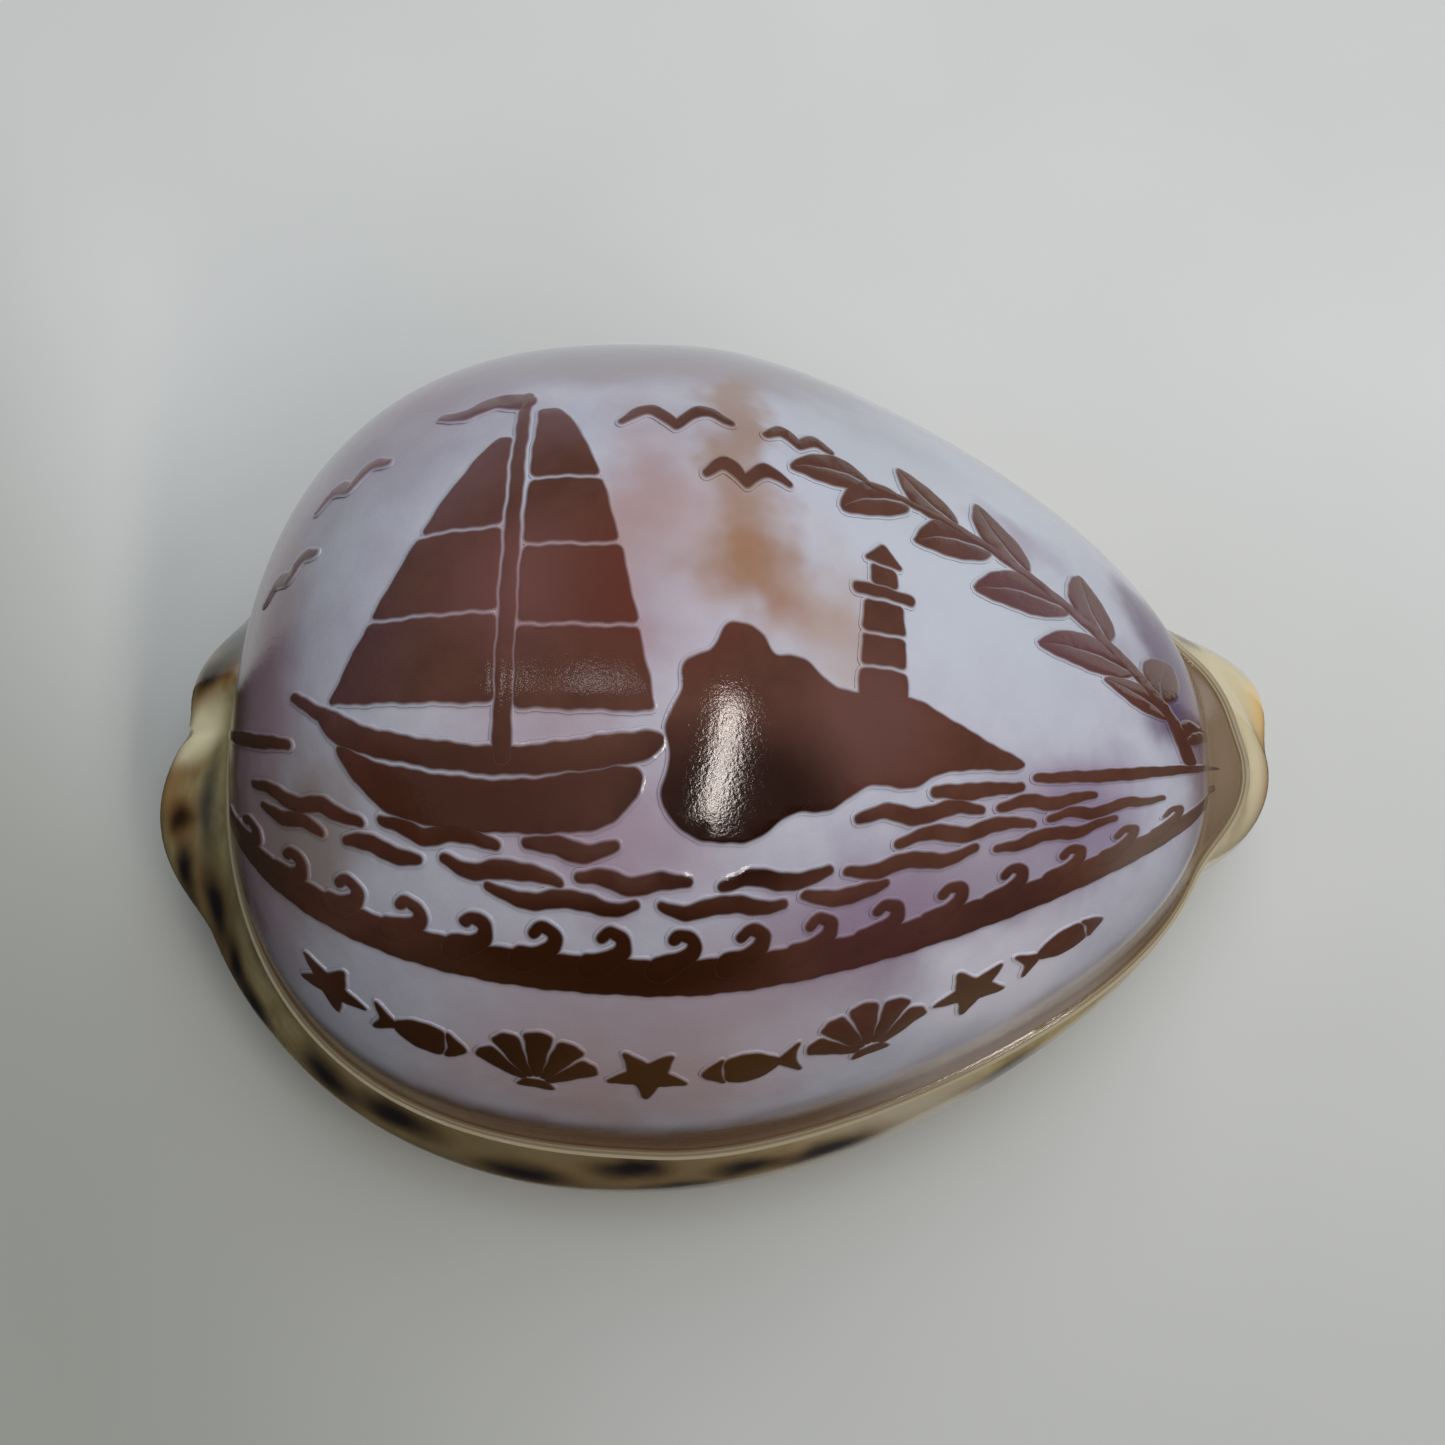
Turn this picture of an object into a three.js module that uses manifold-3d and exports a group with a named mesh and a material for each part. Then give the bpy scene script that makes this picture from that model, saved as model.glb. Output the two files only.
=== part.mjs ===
// Cowrie shell lying on its base, grown as one piece.
// Millimetres. +X is the front (narrow) end, -Y the outer lip side, +Z the domed back.
import * as THREE from "three";
import { mergeVertices } from "three/addons/utils/BufferGeometryUtils.js";
import Module from "manifold-3d";

// Domed back
const BACK_X = -3.3;
const BACK_Z = 14.6;
const BACK_REAR_LENGTH = 30.5;
const BACK_FRONT_LENGTH = 38.1;
const BACK_LIP_WIDTH = 27.4;
const BACK_INNER_WIDTH = 28.8;
const BACK_RISE = 31.7;
const BACK_DROP = 15;
const BACK_REAR_BLUNTNESS = 2.68;
const BACK_FRONT_EASING = 0.25;
const BACK_SIDE_BLUNTNESS = 2.26;
const BACK_TOP_BLUNTNESS = 1.2;
const BACK_TOP_EASING = 0.3;
const BACK_SCALE = 25;

// Thickened rim of the base
const RIM_X = -6.8;
const RIM_Z = 8.2;
const RIM_REAR_LENGTH = 32.4;
const RIM_FRONT_LENGTH = 36.8;
const RIM_LIP_WIDTH = 29.8;
const RIM_INNER_WIDTH = 28.7;
const RIM_HALF_HEIGHT = 8;
const RIM_BLEND = 5;

// Lobes beside the two canals: centre, then half sizes
const LOBES = [
  { at: [-32.1, -3.4, 8.2], half: [7.7, 6.9, 6.3] },
  { at: [-30.6, 5.6, 8.2], half: [7, 4.2, 6] },
  { at: [32.4, 1.8, 8.7], half: [8.3, 7.4, 6.5] },
  { at: [32.8, 6.4, 8.9], half: [7.8, 4.9, 6] },
];
const LOBE_TO_LOBE_BLEND = 1.5;
const LOBE_TO_RIM_BLEND = 3;

// Polished back: an even step all round, along one sloping line
const STEP_DEPTH = 0.45;
const STEP_HEIGHT = 17.1;
const STEP_SLOPE_X = -0.064;
const STEP_SLOPE_Y = 0.098;

// Opening along the base: half widths of the gap, and where its middle runs
const GAP_REAR = 1.3;
const GAP_MIDDLE = 1.7;
const GAP_FRONT = 2.7;
const GAP_SPREAD_INSIDE = 2.2;
const GAP_MIDDLE_Y = -1.6;
const GAP_REAR_Y = 3.2;
const GAP_FRONT_Y = 2.2;
const GAP_HALF_LENGTH = 38;
const LIP_CURL = 2.4;
const LIP_CURL_WIDTH = 4.2;

// Teeth on both lips
const TEETH = 24;
const TOOTH_PITCH = 2.6;
const TOOTH_HEIGHT_LIP = 0.7;
const TOOTH_HEIGHT_INNER = 0.55;
const RIDGE_RISE = 0.35;
const RIDGE_REACH = 2.4;
const STATIONS_PER_TOOTH = 3;
const TOOTH_SHIFT = -1;

// Wall
const WALL_BACK = 2.1;
const WALL_BASE = 5.6;

// Point inside the shell that every surface point is measured from
const HEART = new THREE.Vector3(0, 1.5, 11);

function smoothLeast(a, b, blend) {
  const share = THREE.MathUtils.clamp(0.5 + (0.5 * (b - a)) / blend, 0, 1);
  return b * (1 - share) + a * share - blend * share * (1 - share);
}

function eased(t, easing) {
  return (Math.hypot(t, easing) - easing) / (Math.hypot(1, easing) - easing);
}

// Each shape function is below zero inside the shape.
function backShape(p) {
  const x = p.x - BACK_X;
  const z = p.z - BACK_Z;
  const along =
    x < 0
      ? Math.abs(x / BACK_REAR_LENGTH) ** BACK_REAR_BLUNTNESS
      : eased(x / BACK_FRONT_LENGTH, BACK_FRONT_EASING);
  const across = Math.abs(p.y / (p.y < 0 ? BACK_LIP_WIDTH : BACK_INNER_WIDTH));
  const up = eased(z / (z > 0 ? BACK_RISE : BACK_DROP), BACK_TOP_EASING);
  const sum = along + across ** BACK_SIDE_BLUNTNESS + up ** BACK_TOP_BLUNTNESS;
  return (Math.sqrt(sum) - 1) * BACK_SCALE;
}

function rimShape(p) {
  const x = p.x - RIM_X;
  const along = x / (x < 0 ? RIM_REAR_LENGTH : RIM_FRONT_LENGTH);
  const across = p.y / (p.y < 0 ? RIM_LIP_WIDTH : RIM_INNER_WIDTH);
  const up = Math.abs((p.z - RIM_Z) / RIM_HALF_HEIGHT);
  const sum = (along ** 2 + across ** 2) ** 1.15 + up ** 2.3;
  return (Math.sqrt(sum) - 1) * RIM_HALF_HEIGHT;
}

function lobeShape(p, lobe) {
  const [x, y, z] = lobe.at;
  const [a, b, c] = lobe.half;
  const away = Math.hypot((p.x - x) / a, (p.y - y) / b, (p.z - z) / c);
  return (away - 1) * Math.min(a, b, c);
}

function shellShape(p) {
  const lobes = LOBES.map((lobe) => lobeShape(p, lobe)).reduce((a, b) =>
    smoothLeast(a, b, LOBE_TO_LOBE_BLEND),
  );
  const trunk = smoothLeast(backShape(p), rimShape(p), RIM_BLEND);
  return smoothLeast(trunk, lobes, LOBE_TO_RIM_BLEND);
}

// Distance from the heart to the surface of a shape, in a direction
function reach(shape, direction) {
  let inside = 0;
  let outside = 70;
  for (let halving = 0; halving < 26; halving++) {
    const middle = (inside + outside) / 2;
    const p = HEART.clone().addScaledVector(direction, middle);
    if (shape(p) < 0) inside = middle;
    else outside = middle;
  }
  return inside;
}

// Direction on the cone `lean` from the rear axis, turned `turn` about it from straight up
function towards(lean, turn) {
  return new THREE.Vector3(
    -Math.cos(lean),
    Math.sin(lean) * Math.sin(turn),
    Math.sin(lean) * Math.cos(turn),
  );
}

function smoothStep(t) {
  return THREE.MathUtils.smoothstep(t, 0, 1);
}

function gapCentre(x) {
  const t = THREE.MathUtils.clamp(x / GAP_HALF_LENGTH, -1, 1);
  const end = t < 0 ? GAP_REAR_Y : GAP_FRONT_Y;
  return GAP_MIDDLE_Y + (end - GAP_MIDDLE_Y) * t * t;
}

function gapHalfWidth(x) {
  const t = THREE.MathUtils.clamp(x / GAP_HALF_LENGTH, -1, 1);
  const end = t < 0 ? GAP_REAR : GAP_FRONT;
  return GAP_MIDDLE + (end - GAP_MIDDLE) * t * t;
}

// 1 on the crest of a tooth, 0 between teeth and past the last tooth
function tooth(x) {
  const span = (TEETH * TOOTH_PITCH) / 2;
  const along = x - TOOTH_SHIFT;
  const fade = smoothStep((span - Math.abs(along)) / TOOTH_PITCH);
  const wave = 0.5 - 0.5 * Math.cos((2 * Math.PI * (along + span)) / TOOTH_PITCH);
  return fade * wave;
}

// Stations along the shell, as leans from the rear axis: close ones along the teeth, wide ones at the ends
function stations() {
  const leans = [];
  const span = (TEETH * TOOTH_PITCH) / 2;
  const count = TEETH * STATIONS_PER_TOOTH;
  for (let i = 0; i <= count; i++) {
    const x = TOOTH_SHIFT - span + (i * TOOTH_PITCH) / STATIONS_PER_TOOTH;
    leans.push(Math.PI / 2 + Math.atan2(x, HEART.z));
  }
  const steps = [0, 0.14, 0.28, 0.42, 0.56, 0.7, 0.85];
  const first = leans[0];
  const last = leans[count];
  const rear = steps.map((s) => first * s);
  const front = steps.map((s) => Math.PI - (Math.PI - last) * s).reverse();
  return [...rear, ...leans, ...front];
}

// One closed loop of points round the wall: outside, inner lip, cavity, outer lip
function loopAt(lean) {
  const x = -HEART.z / Math.tan(THREE.MathUtils.clamp(lean, 0.05, Math.PI - 0.05));
  const gap = gapHalfWidth(x);
  const centre = Math.PI + Math.atan2(HEART.y - gapCentre(x), HEART.z);
  const crest = tooth(x);
  const across = Math.sin(lean);
  const turnOf = (offset, radius) => Math.atan2(offset, radius * across);
  const point = (turn, radius) =>
    HEART.clone().addScaledVector(towards(lean, turn), radius);
  const base = reach(shellShape, towards(lean, centre));
  const skin = (turn, offset) => {
    const curl = LIP_CURL * Math.exp(-((offset / LIP_CURL_WIDTH) ** 2));
    const full = reach(shellShape, towards(lean, turn));
    return full - curl * smoothStep(across * 3 - 0.4);
  };
  const inside = (turn) => {
    const d = towards(lean, turn);
    const wall = THREE.MathUtils.lerp(WALL_BACK, WALL_BASE, smoothStep(0.2 - 1.4 * d.z));
    return reach(backShape, d) - wall;
  };
  const toothed = (side) =>
    gap - crest * (side < 0 ? TOOTH_HEIGHT_LIP : TOOTH_HEIGHT_INNER);

  const lipOffsets = [0, 0.9, 2.6, 5.5];
  const lipReach = 8.5;
  const outside = [];
  const start = turnOf(gap + lipReach, base);
  const lipPoint = (side, offset) => {
    const from = offset === 0 ? toothed(side) : gap + offset;
    const turn = centre - side * turnOf(from, base);
    const ridge = crest * RIDGE_RISE * Math.exp(-((offset / RIDGE_REACH) ** 2));
    return point(turn, skin(turn, offset) + (offset === 0 ? 0 : ridge));
  };
  for (const offset of lipOffsets) outside.push(lipPoint(-1, offset));
  const wide = 21;
  for (let i = 0; i <= wide; i++) {
    const t = i / wide;
    const spaced = t - (0.6 * Math.sin(2 * Math.PI * t)) / (2 * Math.PI);
    const turn = centre + start + (2 * Math.PI - 2 * start) * spaced;
    outside.push(point(turn, skin(turn, lipReach)));
  }
  for (const offset of [...lipOffsets].reverse()) outside.push(lipPoint(1, offset));

  const cavity = [];
  const inner = inside(centre);
  const open = turnOf(gap + GAP_SPREAD_INSIDE, inner);
  const ribs = 9;
  for (let i = 0; i <= ribs; i++) {
    const turn = centre - open - ((2 * Math.PI - 2 * open) * i) / ribs;
    cavity.push(point(turn, inside(turn)));
  }

  const wallPoints = (side) => {
    const outer = base - LIP_CURL * smoothStep(across * 3 - 0.4);
    return [0.2, 0.5, 0.8].map((depth) => {
      const radius = THREE.MathUtils.lerp(outer, inner, depth);
      const narrow = crest * (side < 0 ? TOOTH_HEIGHT_LIP : TOOTH_HEIGHT_INNER);
      const offset = gap - narrow * (1 - depth) + GAP_SPREAD_INSIDE * depth ** 2;
      return point(centre - side * turnOf(offset, radius), radius);
    });
  };
  return [...outside, ...wallPoints(1), ...cavity, ...wallPoints(-1).reverse()];
}

// Closed mesh over rows of points, each row a closed loop, the first and last rows collapsed
function skinOver(rows) {
  const columns = rows[0].length;
  const index = [];
  for (let i = 0; i + 1 < rows.length; i++) {
    for (let j = 0; j < columns; j++) {
      const a = i * columns + j;
      const b = i * columns + ((j + 1) % columns);
      index.push(a, a + columns, b, b, a + columns, b + columns);
    }
  }
  const geometry = new THREE.BufferGeometry().setFromPoints(rows.flat());
  geometry.setIndex(index);
  return geometry;
}

const wasm = await Module();
wasm.setup();

function solidOf(geometry) {
  const bare = new THREE.BufferGeometry();
  bare.setAttribute("position", geometry.getAttribute("position"));
  bare.setIndex(geometry.getIndex());
  const merged = mergeVertices(bare, 1e-3);
  const kept = [];
  const ids = merged.getIndex().array;
  for (let i = 0; i < ids.length; i += 3) {
    const [a, b, c] = [ids[i], ids[i + 1], ids[i + 2]];
    if (a !== b && b !== c && c !== a) kept.push(a, b, c);
  }
  return new wasm.Manifold(
    new wasm.Mesh({
      numProp: 3,
      vertProperties: merged.attributes.position.array,
      triVerts: new Uint32Array(kept),
    }),
  );
}

function geometryOf(solid) {
  const mesh = solid.getMesh();
  const geometry = new THREE.BufferGeometry();
  const position = new THREE.BufferAttribute(mesh.vertProperties, 3);
  geometry.setAttribute("position", position);
  geometry.setIndex(new THREE.BufferAttribute(mesh.triVerts, 1));
  return geometry;
}

// Wall of the shell, open along the base
const shell = solidOf(skinOver(stations().map(loopAt)));

// Outside of the polished back, one step lower than the skin left on the sides
const CORE_ROWS = 36;
const CORE_COLUMNS = 44;
const lowered = [];
for (let i = 0; i <= CORE_ROWS; i++) {
  const row = [];
  for (let j = 0; j < CORE_COLUMNS; j++) {
    const turn = (2 * Math.PI * j) / CORE_COLUMNS;
    const direction = towards((Math.PI * i) / CORE_ROWS, turn);
    const radius = reach(shellShape, direction) - STEP_DEPTH;
    row.push(HEART.clone().addScaledVector(direction, radius));
  }
  lowered.push(row);
}
const core = solidOf(skinOver(lowered));

// Block that lies on the step line
const BLOCK = 200;
const blockGeometry = new THREE.BoxGeometry(BLOCK, BLOCK, BLOCK);
blockGeometry.translate(0, 0, BLOCK / 2);
const stepNormal = new THREE.Vector3(-STEP_SLOPE_X, -STEP_SLOPE_Y, 1).normalize();
const turnToStep = new THREE.Quaternion().setFromUnitVectors(
  new THREE.Vector3(0, 0, 1),
  stepNormal,
);
blockGeometry.applyQuaternion(turnToStep);
blockGeometry.translate(0, 0, STEP_HEIGHT);
const aboveStep = solidOf(blockGeometry);

// Everything under the table, so that the base rests on small flats
const tableGeometry = new THREE.BoxGeometry(BLOCK, BLOCK, BLOCK);
tableGeometry.translate(0, 0, -BLOCK / 2);
const table = solidOf(tableGeometry);

const finished = shell.subtract(aboveStep.subtract(core)).subtract(table);

const enamel = new THREE.MeshStandardMaterial({
  color: "#b9aeb4",
  roughness: 0.25,
  metalness: 0,
});
const cowrie = new THREE.Mesh(geometryOf(finished), enamel);
cowrie.name = "cowrie_shell";

const part = new THREE.Group();
part.add(cowrie);
export default part;
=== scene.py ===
import math

import bmesh
import bpy
import numpy as np
from mathutils import Matrix, Vector


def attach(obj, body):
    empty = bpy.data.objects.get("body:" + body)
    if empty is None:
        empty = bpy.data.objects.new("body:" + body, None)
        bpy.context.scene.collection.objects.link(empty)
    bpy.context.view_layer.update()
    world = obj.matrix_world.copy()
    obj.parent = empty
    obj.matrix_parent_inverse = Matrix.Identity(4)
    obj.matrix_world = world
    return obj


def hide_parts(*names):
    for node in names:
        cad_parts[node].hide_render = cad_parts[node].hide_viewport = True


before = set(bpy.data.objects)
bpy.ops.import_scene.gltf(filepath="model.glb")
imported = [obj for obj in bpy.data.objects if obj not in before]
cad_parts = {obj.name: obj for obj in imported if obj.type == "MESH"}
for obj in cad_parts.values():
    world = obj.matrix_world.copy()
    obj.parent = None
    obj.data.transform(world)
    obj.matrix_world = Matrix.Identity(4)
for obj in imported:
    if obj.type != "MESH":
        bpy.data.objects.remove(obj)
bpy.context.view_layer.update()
scene = bpy.context.scene

# Camera, held close above the shell and a little towards its lip side.
# A phone's view: the lens is wide, so the domed back looms over the base.
MM = 0.001
AIM = Vector((0.36, 1.41, 18.2)) * MM
AZIMUTH = math.radians(1.61)
ELEVATION = math.radians(71.0)
ROLL = math.radians(0.3)
DISTANCE = 118.2 * MM
FIELD = math.radians(46)
SENSOR = 36
NEAREST = 5 * MM

towards_camera = Vector(
    (
        math.sin(AZIMUTH) * math.cos(ELEVATION),
        -math.cos(AZIMUTH) * math.cos(ELEVATION),
        math.sin(ELEVATION),
    )
)
camera = bpy.data.objects.new("camera", bpy.data.cameras.new("camera"))
scene.collection.objects.link(camera)
turn = towards_camera.to_track_quat("Z", "Y") @ Matrix.Rotation(ROLL, 3, "Z").to_quaternion()
camera.matrix_world = Matrix.Translation(AIM + towards_camera * DISTANCE) @ turn.to_matrix().to_4x4()
camera.data.sensor_width = SENSOR
camera.data.lens = SENSOR / 2 / math.tan(FIELD / 2)
camera.data.clip_start = NEAREST
scene.camera = camera

# Shell: a full-grown cowrie, one piece of enamelled lime, hollow and open along the base.
# It grew as a coil whose last turn wrapped the rest; both lips of the slit are toothed.
# Its back was dipped in acid and polished, which took the spotted skin down one step.

# domed back, in millimetres: x runs to the narrow front end, y to the far side, z up
BACK_X, BACK_Z = -3.3, 14.6
BACK_REAR, BACK_FRONT = 30.5, 38.1
BACK_LIP, BACK_INNER = 27.4, 28.8
BACK_RISE, BACK_DROP = 31.7, 15
REAR_BLUNTNESS, SIDE_BLUNTNESS, TOP_BLUNTNESS = 2.68, 2.26, 1.2
FRONT_EASING, TOP_EASING = 0.25, 0.3
BACK_SCALE = 25
# swollen rim round the base
RIM_X, RIM_Z, RIM_HALF_HEIGHT = -6.8, 8.2, 8
RIM_REAR, RIM_FRONT = 32.4, 36.8
RIM_LIP, RIM_INNER = 29.8, 28.7
RIM_BLUNTNESS, RIM_CROWN = 1.15, 2.3
# two lobes at each end: centre and half sizes
LOBES = (
    ((-32.1, -3.4, 8.2), (7.7, 6.9, 6.3)),
    ((-30.6, 5.6, 8.2), (7, 4.2, 6)),
    ((32.4, 1.8, 8.7), (8.3, 7.4, 6.5)),
    ((32.8, 6.4, 8.9), (7.8, 4.9, 6)),
)
RIM_BLEND, LOBE_BLEND, LOBE_RIM_BLEND = 5, 1.5, 3
# the middle that every measure over the form starts from
HEART = np.array((0, 1.5, 11.0))
LONGEST_REACH, HALVINGS = 70.0, 24


def eased(t, easing):
    return (np.hypot(t, easing) - easing) / (math.hypot(1, easing) - easing)


def smooth_least(a, b, blend):
    share = np.clip(0.5 + 0.5 * (b - a) / blend, 0, 1)
    return b * (1 - share) + a * share - blend * share * (1 - share)


def back_shape(p):
    x, y, z = p[..., 0] - BACK_X, p[..., 1], p[..., 2] - BACK_Z
    rear = np.abs(x / BACK_REAR) ** REAR_BLUNTNESS
    along = np.where(x < 0, rear, eased(x / BACK_FRONT, FRONT_EASING))
    across = np.abs(y / np.where(y < 0, BACK_LIP, BACK_INNER)) ** SIDE_BLUNTNESS
    up = eased(z / np.where(z > 0, BACK_RISE, BACK_DROP), TOP_EASING) ** TOP_BLUNTNESS
    return (np.sqrt(along + across + up) - 1) * BACK_SCALE


def rim_shape(p):
    x, y, z = p[..., 0] - RIM_X, p[..., 1], p[..., 2] - RIM_Z
    along = x / np.where(x < 0, RIM_REAR, RIM_FRONT)
    across = y / np.where(y < 0, RIM_LIP, RIM_INNER)
    up = np.abs(z / RIM_HALF_HEIGHT) ** RIM_CROWN
    return (np.sqrt((along**2 + across**2) ** RIM_BLUNTNESS + up) - 1) * RIM_HALF_HEIGHT


def shell_shape(p):
    lobes = None
    for centre, half in LOBES:
        away = np.linalg.norm((p - np.array(centre)) / np.array(half), axis=-1)
        lobe = (away - 1) * min(half)
        lobes = lobe if lobes is None else smooth_least(lobes, lobe, LOBE_BLEND)
    trunk = smooth_least(back_shape(p), rim_shape(p), RIM_BLEND)
    return smooth_least(trunk, lobes, LOBE_RIM_BLEND)


def reach(shape, start, direction):
    inside = np.zeros(direction.shape[:-1])
    outside = np.full(direction.shape[:-1], LONGEST_REACH)
    for _ in range(HALVINGS):
        middle = (inside + outside) / 2
        within = shape(start + middle[..., None] * direction) < 0
        inside = np.where(within, middle, inside)
        outside = np.where(within, outside, middle)
    return inside


def towards(lean, turn):
    parts = (-np.cos(lean), np.sin(lean) * np.sin(turn), np.sin(lean) * np.cos(turn))
    return np.stack(np.broadcast_arrays(*parts), -1)


def smooth_step(t):
    t = np.clip(t, 0, 1)
    return t * t * (3 - 2 * t)


# slit along the base: half its width and its place across, at the rear, middle and front
GAP_HALF_LENGTH = 38
GAP_HALF_WIDTHS = (1.3, 1.7, 2.7)
GAP_PLACES = (3.2, -1.6, 2.2)
GAP_SPREAD = 2.2
# lips: a rounded edge, then a curl inwards, both growing in from the ends
LIP_ROUND, LIP_ROUND_WIDTH = 1.3, 1.9
LIP_CURL, LIP_CURL_WIDTH = 1.3, 5.2
LIP_FLAT = 6.6
LIP_GROWTH, LIP_DELAY = 3, 0.4
# teeth, on the outer lip (-1) and the inner lip (1), each a little unlike the next
TEETH, TOOTH_PITCH, TOOTH_SHIFT = 24, 2.6, -1
TOOTH_HEIGHTS = {-1: 0.75, 1: 0.6}
TOOTH_REACHES = {-1: 3.4, 1: 2.4}
TOOTH_FADE, TOOTH_SHARPNESS = 1.5, 0.8
LEAST_TOOTH, TOOTH_SPREAD = 0.85, 0.3
TOOTH_SHUFFLE, TOOTH_SHUFFLE_SCALE = 12.99, 43.7
# walls, thick at the base and thin on the back
WALL_BACK, WALL_BASE = 2.1, 5.6
WALL_CHANGE, WALL_CHANGE_RATE = 0.2, 1.4
# how finely the mesh follows it all
TOOTH_ROWS, END_ROWS = 14, 22
LIP_COLUMNS, SIDE_COLUMNS, WALL_COLUMNS, CAVITY_COLUMNS = 20, 126, 12, 34
ROUND_COLUMNS = 10
CROWDING = 0.35
STEEPEST = 0.05

tooth_span = TEETH * TOOTH_PITCH / 2
base_x = TOOTH_SHIFT + np.linspace(-tooth_span, tooth_span, TEETH * TOOTH_ROWS + 1)
leans = math.pi / 2 + np.arctan2(base_x, HEART[2])
end_shares = np.linspace(0, 1, END_ROWS, endpoint=False)
rear_rows = leans[0] * end_shares
front_rows = math.pi - (math.pi - leans[-1]) * end_shares[::-1]
leans = np.concatenate((rear_rows, leans, front_rows))[:, None]
base_x = -HEART[2] / np.tan(np.clip(leans, STEEPEST, math.pi - STEEPEST))
slit_share = np.clip(base_x / GAP_HALF_LENGTH, -1, 1)


def along_slit(rear, middle, front):
    return middle + (np.where(slit_share < 0, rear, front) - middle) * slit_share**2


gap = along_slit(*GAP_HALF_WIDTHS)
gap_turn = math.pi + np.arctan2(HEART[1] - along_slit(*GAP_PLACES), HEART[2])
girth = np.sin(leans)
grown = smooth_step(girth * LIP_GROWTH - LIP_DELAY)

from_teeth = base_x - TOOTH_SHIFT
tooth_number = np.floor((from_teeth + tooth_span) / TOOTH_PITCH)
tooth_fade = smooth_step((tooth_span - np.abs(from_teeth)) / (TOOTH_FADE * TOOTH_PITCH))
tooth_wave = 0.5 - 0.5 * np.cos(2 * math.pi * (from_teeth + tooth_span) / TOOTH_PITCH)
tooth_crest = tooth_fade * tooth_wave**TOOTH_SHARPNESS


def turn_at(offset, radius):
    return np.arctan2(offset, radius * girth)


base_radius = reach(shell_shape, HEART, towards(leans, gap_turn))
inner_radius = reach(back_shape, HEART, towards(leans, gap_turn)) - WALL_BASE
edge_radius = base_radius - (LIP_ROUND + LIP_CURL) * grown


def teeth_on(side, depth):
    drawn = np.modf(np.abs(np.sin(tooth_number * TOOTH_SHUFFLE + side) * TOOTH_SHUFFLE_SCALE))[0]
    height = tooth_crest * (LEAST_TOOTH + TOOTH_SPREAD * drawn) * TOOTH_HEIGHTS[side]
    return height * np.exp(-((depth / TOOTH_REACHES[side]) ** 2))


def lip(side):
    rounding = np.linspace(0, math.pi / 2, ROUND_COLUMNS)[None]
    beyond = np.linspace(0, 1, LIP_COLUMNS - ROUND_COLUMNS + 1)[None, 1:]
    slant = np.concatenate((rounding, beyond * 0 + math.pi / 2), 1)
    offset = np.concatenate(
        (LIP_ROUND_WIDTH * (1 - np.cos(rounding)), LIP_ROUND_WIDTH + LIP_FLAT * beyond), 1
    )
    sink = LIP_ROUND * (1 - np.sin(slant)) + LIP_CURL * np.exp(-((offset / LIP_CURL_WIDTH) ** 2))
    sideways = np.cos(slant)
    rise = teeth_on(side, offset)
    turn = gap_turn - side * turn_at(gap + offset - rise * sideways, base_radius)
    radius = reach(shell_shape, HEART, towards(leans, turn)) - sink * grown
    return turn, radius + rise * np.sqrt(1 - sideways**2)


def wall(side):
    depth = np.linspace(0, 1, WALL_COLUMNS + 2)[None, 1:-1]
    radius = edge_radius + (inner_radius - edge_radius) * depth
    inwards = depth * (edge_radius - inner_radius)
    offset = gap + GAP_SPREAD * depth**2 - teeth_on(side, inwards)
    return gap_turn - side * turn_at(offset, radius), radius


lip_turn, lip_radius = lip(-1)
inner_turn, inner_lip_radius = lip(1)
share = np.linspace(0, 1, SIDE_COLUMNS + 2)[None, 1:-1]
share = share - CROWDING * np.sin(2 * math.pi * share) / (2 * math.pi)
side_turn = lip_turn[:, -1:] + (inner_turn[:, -1:] + 2 * math.pi - lip_turn[:, -1:]) * share
side_sink = LIP_CURL * np.exp(-(((LIP_ROUND_WIDTH + LIP_FLAT) / LIP_CURL_WIDTH) ** 2)) * grown
side_radius = reach(shell_shape, HEART, towards(leans, side_turn)) - side_sink
inner_wall_turn, inner_wall_radius = wall(1)
lip_wall_turn, lip_wall_radius = wall(-1)
open_turn = turn_at(gap + GAP_SPREAD, inner_radius)
cavity_share = np.linspace(0, 1, CAVITY_COLUMNS)[None]
cavity_turn = gap_turn - open_turn - (2 * math.pi - 2 * open_turn) * cavity_share
cavity_towards = towards(leans, cavity_turn)
thickening = smooth_step(WALL_CHANGE - WALL_CHANGE_RATE * cavity_towards[..., 2])
cavity_wall = WALL_BACK + (WALL_BASE - WALL_BACK) * thickening
cavity_radius = reach(back_shape, HEART, cavity_towards) - cavity_wall

turns = np.concatenate(
    (
        lip_turn,
        side_turn,
        inner_turn[:, ::-1],
        inner_wall_turn,
        cavity_turn,
        lip_wall_turn[:, ::-1],
    ),
    1,
)
radii = np.concatenate(
    (
        lip_radius,
        side_radius,
        inner_lip_radius[:, ::-1],
        inner_wall_radius,
        cavity_radius,
        lip_wall_radius[:, ::-1],
    ),
    1,
)
skin_columns = 2 * LIP_COLUMNS + SIDE_COLUMNS

# the shallow fold where the two lips meet over the front canal
FOLD_X, FOLD_Y, FOLD_SLOPE, FOLD_DEPTH, FOLD_WIDTH = 38, 5.9, -0.9, 0.5, 0.9
FOLD_START_X, FOLD_START_Z, FOLD_FADE = 34.5, 9.5, 3
x, y, z = np.moveaxis(HEART + radii[..., None] * towards(leans, turns), -1, 0)
fold_away = (y - FOLD_Y - FOLD_SLOPE * (x - FOLD_X)) / math.hypot(1, FOLD_SLOPE)
fold = FOLD_DEPTH * np.exp(-((fold_away / FOLD_WIDTH) ** 2))
fold = fold * smooth_step((x - FOLD_START_X) / FOLD_FADE) * smooth_step((z - FOLD_START_Z) / FOLD_FADE)
fold[:, skin_columns:] = 0
places = HEART + (radii - fold)[..., None] * towards(leans, turns)
places = np.concatenate((places, places[:, :1]), 1)
rows, columns = places.shape[:2]

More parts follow.
